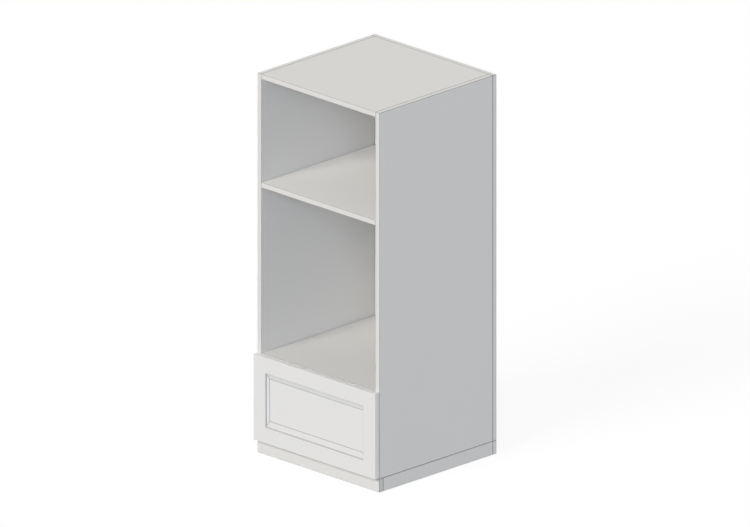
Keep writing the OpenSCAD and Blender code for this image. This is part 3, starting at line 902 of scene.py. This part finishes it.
def mix_shaders(tree, factor, first, second):
    """The shader output of a mix of two shader nodes' outputs."""
    mixed = add(tree, "MixShader", Fac=factor)
    tree.links.new(first, mixed.inputs[1])
    tree.links.new(second, mixed.inputs[2])
    return mixed.outputs[0]


def glowing(tree, kind, strength):
    """The output of a white Emission or Background node."""
    return add(tree, kind, Color=WHITE, Strength=strength).outputs[0]


def make_floor(context, stage):
    """A white floor with a pale shadow, which throws little light back at the cabinet."""
    bm = bmesh.new()
    bmesh.ops.create_grid(bm, x_segments=1, y_segments=1, size=FLOOR_HALF)
    floor = linked_object(bm, "floor")
    material = bpy.data.materials.new("floor_white")
    material.use_nodes = True
    tree = material.node_tree
    tree.nodes.clear()
    lit = add(tree, "BsdfDiffuse", Color=WHITE).outputs[0]
    white = glowing(tree, "Emission", FLOOR_WHITE)
    seen = mix_shaders(tree, stage.floor_shadow, white, lit)
    bounce = glowing(tree, "Emission", stage.floor_glow)
    surface = mix_shaders(tree, seen_directly(tree), bounce, seen)
    output = tree.nodes.new("ShaderNodeOutputMaterial")
    tree.links.new(surface, output.inputs["Surface"])
    floor.data.materials.append(material)


def make_sky(context, stage):
    """Softly glowing walls round the cabinet, which look white where they are seen."""
    world = bpy.data.worlds.new("studio")
    context.scene.world = world
    world.use_nodes = True
    tree = world.node_tree
    tree.nodes.clear()
    direction = add(tree, "TexCoord").outputs["Generated"]
    total = 0.0
    for wall, glow in (
        ((1.0, 0.0, 0.0), stage.wall_right),
        ((-1.0, 0.0, 0.0), stage.wall_left),
        ((0.0, 1.0, 0.0), stage.wall_back),
    ):
        towards_wall = add(tree, "VectorMath", {"operation": "DOT_PRODUCT"})
        feed(tree, towards_wall.inputs[0], direction)
        feed(tree, towards_wall.inputs[1], wall)
        lobe = add(tree, "Clamp", Value=towards_wall.outputs["Value"]).outputs[0]
        share = calculated(tree, "POWER", lobe, WALL_FALLOFF)
        total = calculated(tree, "MULTIPLY_ADD", share, glow, total)
    walls_light = glowing(tree, "Background", total)
    white = glowing(tree, "Background", 1.0)
    surface = mix_shaders(tree, seen_directly(tree), walls_light, white)
    output = tree.nodes.new("ShaderNodeOutputWorld")
    tree.links.new(surface, output.inputs["Surface"])


def make_lamps(context, stage):
    """The key light in front and a cooler fill from the right, which isn't mirrored."""
    for name, strength, tint, place, mirrored in (
        ("key", stage.key, stage.key_tint, KEY_PLACE, True),
        ("fill", stage.fill, stage.fill_tint, FILL_PLACE, False),
    ):
        azimuth, elevation, width = place
        lamp = bpy.data.objects.new(name, bpy.data.lights.new(name, "SUN"))
        lamp.data.energy = strength
        lamp.data.color = tint
        lamp.data.angle = width
        lamp.rotation_mode = "QUATERNION"
        lamp.rotation_quaternion = towards(azimuth, elevation).to_track_quat("Z", "Y")
        lamp.visible_glossy = mirrored
        context.scene.collection.objects.link(lamp)


# ---- operators ----


class CABINET_OT_stage(Operator):
    """Make the camera, the floor and the light"""

    bl_idname = "cabinet.stage"
    bl_label = "Stage"

    def execute(self, context):
        stage = context.scene.cabinet_stage
        make_camera(context, stage)
        make_floor(context, stage)
        make_sky(context, stage)
        make_lamps(context, stage)
        context.scene.view_settings.view_transform = "Standard"
        return {"FINISHED"}


class CABINET_OT_carcass(Operator):
    """Finish the side, cross and back panels"""

    bl_idname = "cabinet.carcass"
    bl_label = "Carcass"

    def execute(self, context):
        arris = context.scene.cabinet_sizes.board_arris
        joint_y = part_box("side_left")[0].y
        for node in (*SIDES, *CROSS_PANELS):
            round_boards(node, arris, joint_y)
        round_boards("back_panel", arris)
        return {"FINISHED"}


class CABINET_OT_edging(Operator):
    """Finish the plastic bands on the front edges"""

    bl_idname = "cabinet.edging"
    bl_label = "Edging"

    def execute(self, context):
        joint_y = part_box("side_left")[0].y
        for node in EDGINGS:
            round_boards(node, context.scene.cabinet_sizes.band_arris, joint_y)
        return {"FINISHED"}


class CABINET_OT_plinth(Operator):
    """Finish the plinth's boards and corner blocks"""

    bl_idname = "cabinet.plinth"
    bl_label = "Plinth"

    def execute(self, context):
        for node in (*PLINTH_BOARDS, "plinth_blocks"):
            round_boards(node, context.scene.cabinet_sizes.board_arris)
        return {"FINISHED"}


class CABINET_OT_fittings(Operator):
    """Finish the dowels, cams, bolts and screws of the carcass and the plinth"""

    bl_idname = "cabinet.fittings"
    bl_label = "Fittings"

    def execute(self, context):
        for node in ("panel_dowels", "cam_discs", "cam_bolts"):
            dress(node)
        screws_with_drives("back_screws", backwards, length=5.0 * MM, depth=1.6 * MM)
        screws_with_drives("block_screws", downwards, length=4.6 * MM, depth=1.6 * MM)
        return {"FINISHED"}


class CABINET_OT_drawer_front(Operator):
    """Finish the routed drawer front and its pads"""

    bl_idname = "cabinet.drawer_front"
    bl_label = "Drawer front"

    def execute(self, context):
        sizes = context.scene.cabinet_sizes
        routed_front("drawer_front", sizes.front_arris, sizes.moulding_arris)
        dress("bumper_pads")
        return {"FINISHED"}


class CABINET_OT_drawer_box(Operator):
    """Finish the drawer box, its dowels and the screws of its front"""

    bl_idname = "cabinet.drawer_box"
    bl_label = "Drawer box"

    def execute(self, context):
        for node in BOX_BOARDS:
            round_boards(node, context.scene.cabinet_sizes.board_arris)
        dress("box_dowels")
        screws_with_drives("front_screws", backwards, length=4.2 * MM, depth=1.4 * MM)
        return {"FINISHED"}


class CABINET_OT_runners(Operator):
    """Finish the ball-bearing runners, their screws and their release levers"""

    bl_idname = "cabinet.runners"
    bl_label = "Runners"

    def execute(self, context):
        for node in (*MEMBERS, *RETAINERS, *BALLS, *LEVERS):
            dress(node)
        for node, facing_of in (
            ("cabinet_runner_screws", inwards),
            ("drawer_runner_screws", outwards),
        ):
            screws_with_drives(node, facing_of, length=3.8 * MM, depth=0.6 * MM)
        return {"FINISHED"}


class CABINET_PT_tools(Panel):
    """Lists the cabinet's steps, sizes and colours"""

    bl_idname = "CABINET_PT_tools"
    bl_label = "Microwave cabinet"
    bl_space_type = "VIEW_3D"
    bl_region_type = "UI"
    bl_category = "Cabinet"

    def draw(self, context):
        layout = self.layout
        for operator in OPERATORS:
            layout.operator(operator.bl_idname)
        for group in GROUPS:
            settings = getattr(context.scene, group)
            for name in settings.__annotations__:
                layout.prop(settings, name)


GROUPS = {
    "cabinet_sizes": CabinetSizes,
    "cabinet_colours": CabinetColours,
    "cabinet_stage": CabinetStage,
}
OPERATORS = (
    CABINET_OT_stage,
    CABINET_OT_carcass,
    CABINET_OT_edging,
    CABINET_OT_plinth,
    CABINET_OT_fittings,
    CABINET_OT_drawer_front,
    CABINET_OT_drawer_box,
    CABINET_OT_runners,
)


def register():
    """Makes the settings, the operators and the panel known."""
    for cls in (*GROUPS.values(), *OPERATORS, CABINET_PT_tools):
        bpy.utils.register_class(cls)
    for name, group in GROUPS.items():
        setattr(bpy.types.Scene, name, PointerProperty(type=group))


def unregister():
    """Takes back what register did."""
    for name in GROUPS:
        delattr(bpy.types.Scene, name)
    for cls in reversed((*GROUPS.values(), *OPERATORS, CABINET_PT_tools)):
        bpy.utils.unregister_class(cls)


def main():
    """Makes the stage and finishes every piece."""
    register()
    bpy.ops.cabinet.stage()
    bpy.ops.cabinet.carcass()
    bpy.ops.cabinet.edging()
    bpy.ops.cabinet.plinth()
    bpy.ops.cabinet.fittings()
    bpy.ops.cabinet.drawer_front()
    bpy.ops.cabinet.drawer_box()
    bpy.ops.cabinet.runners()


if __name__ == "__main__":
    main()
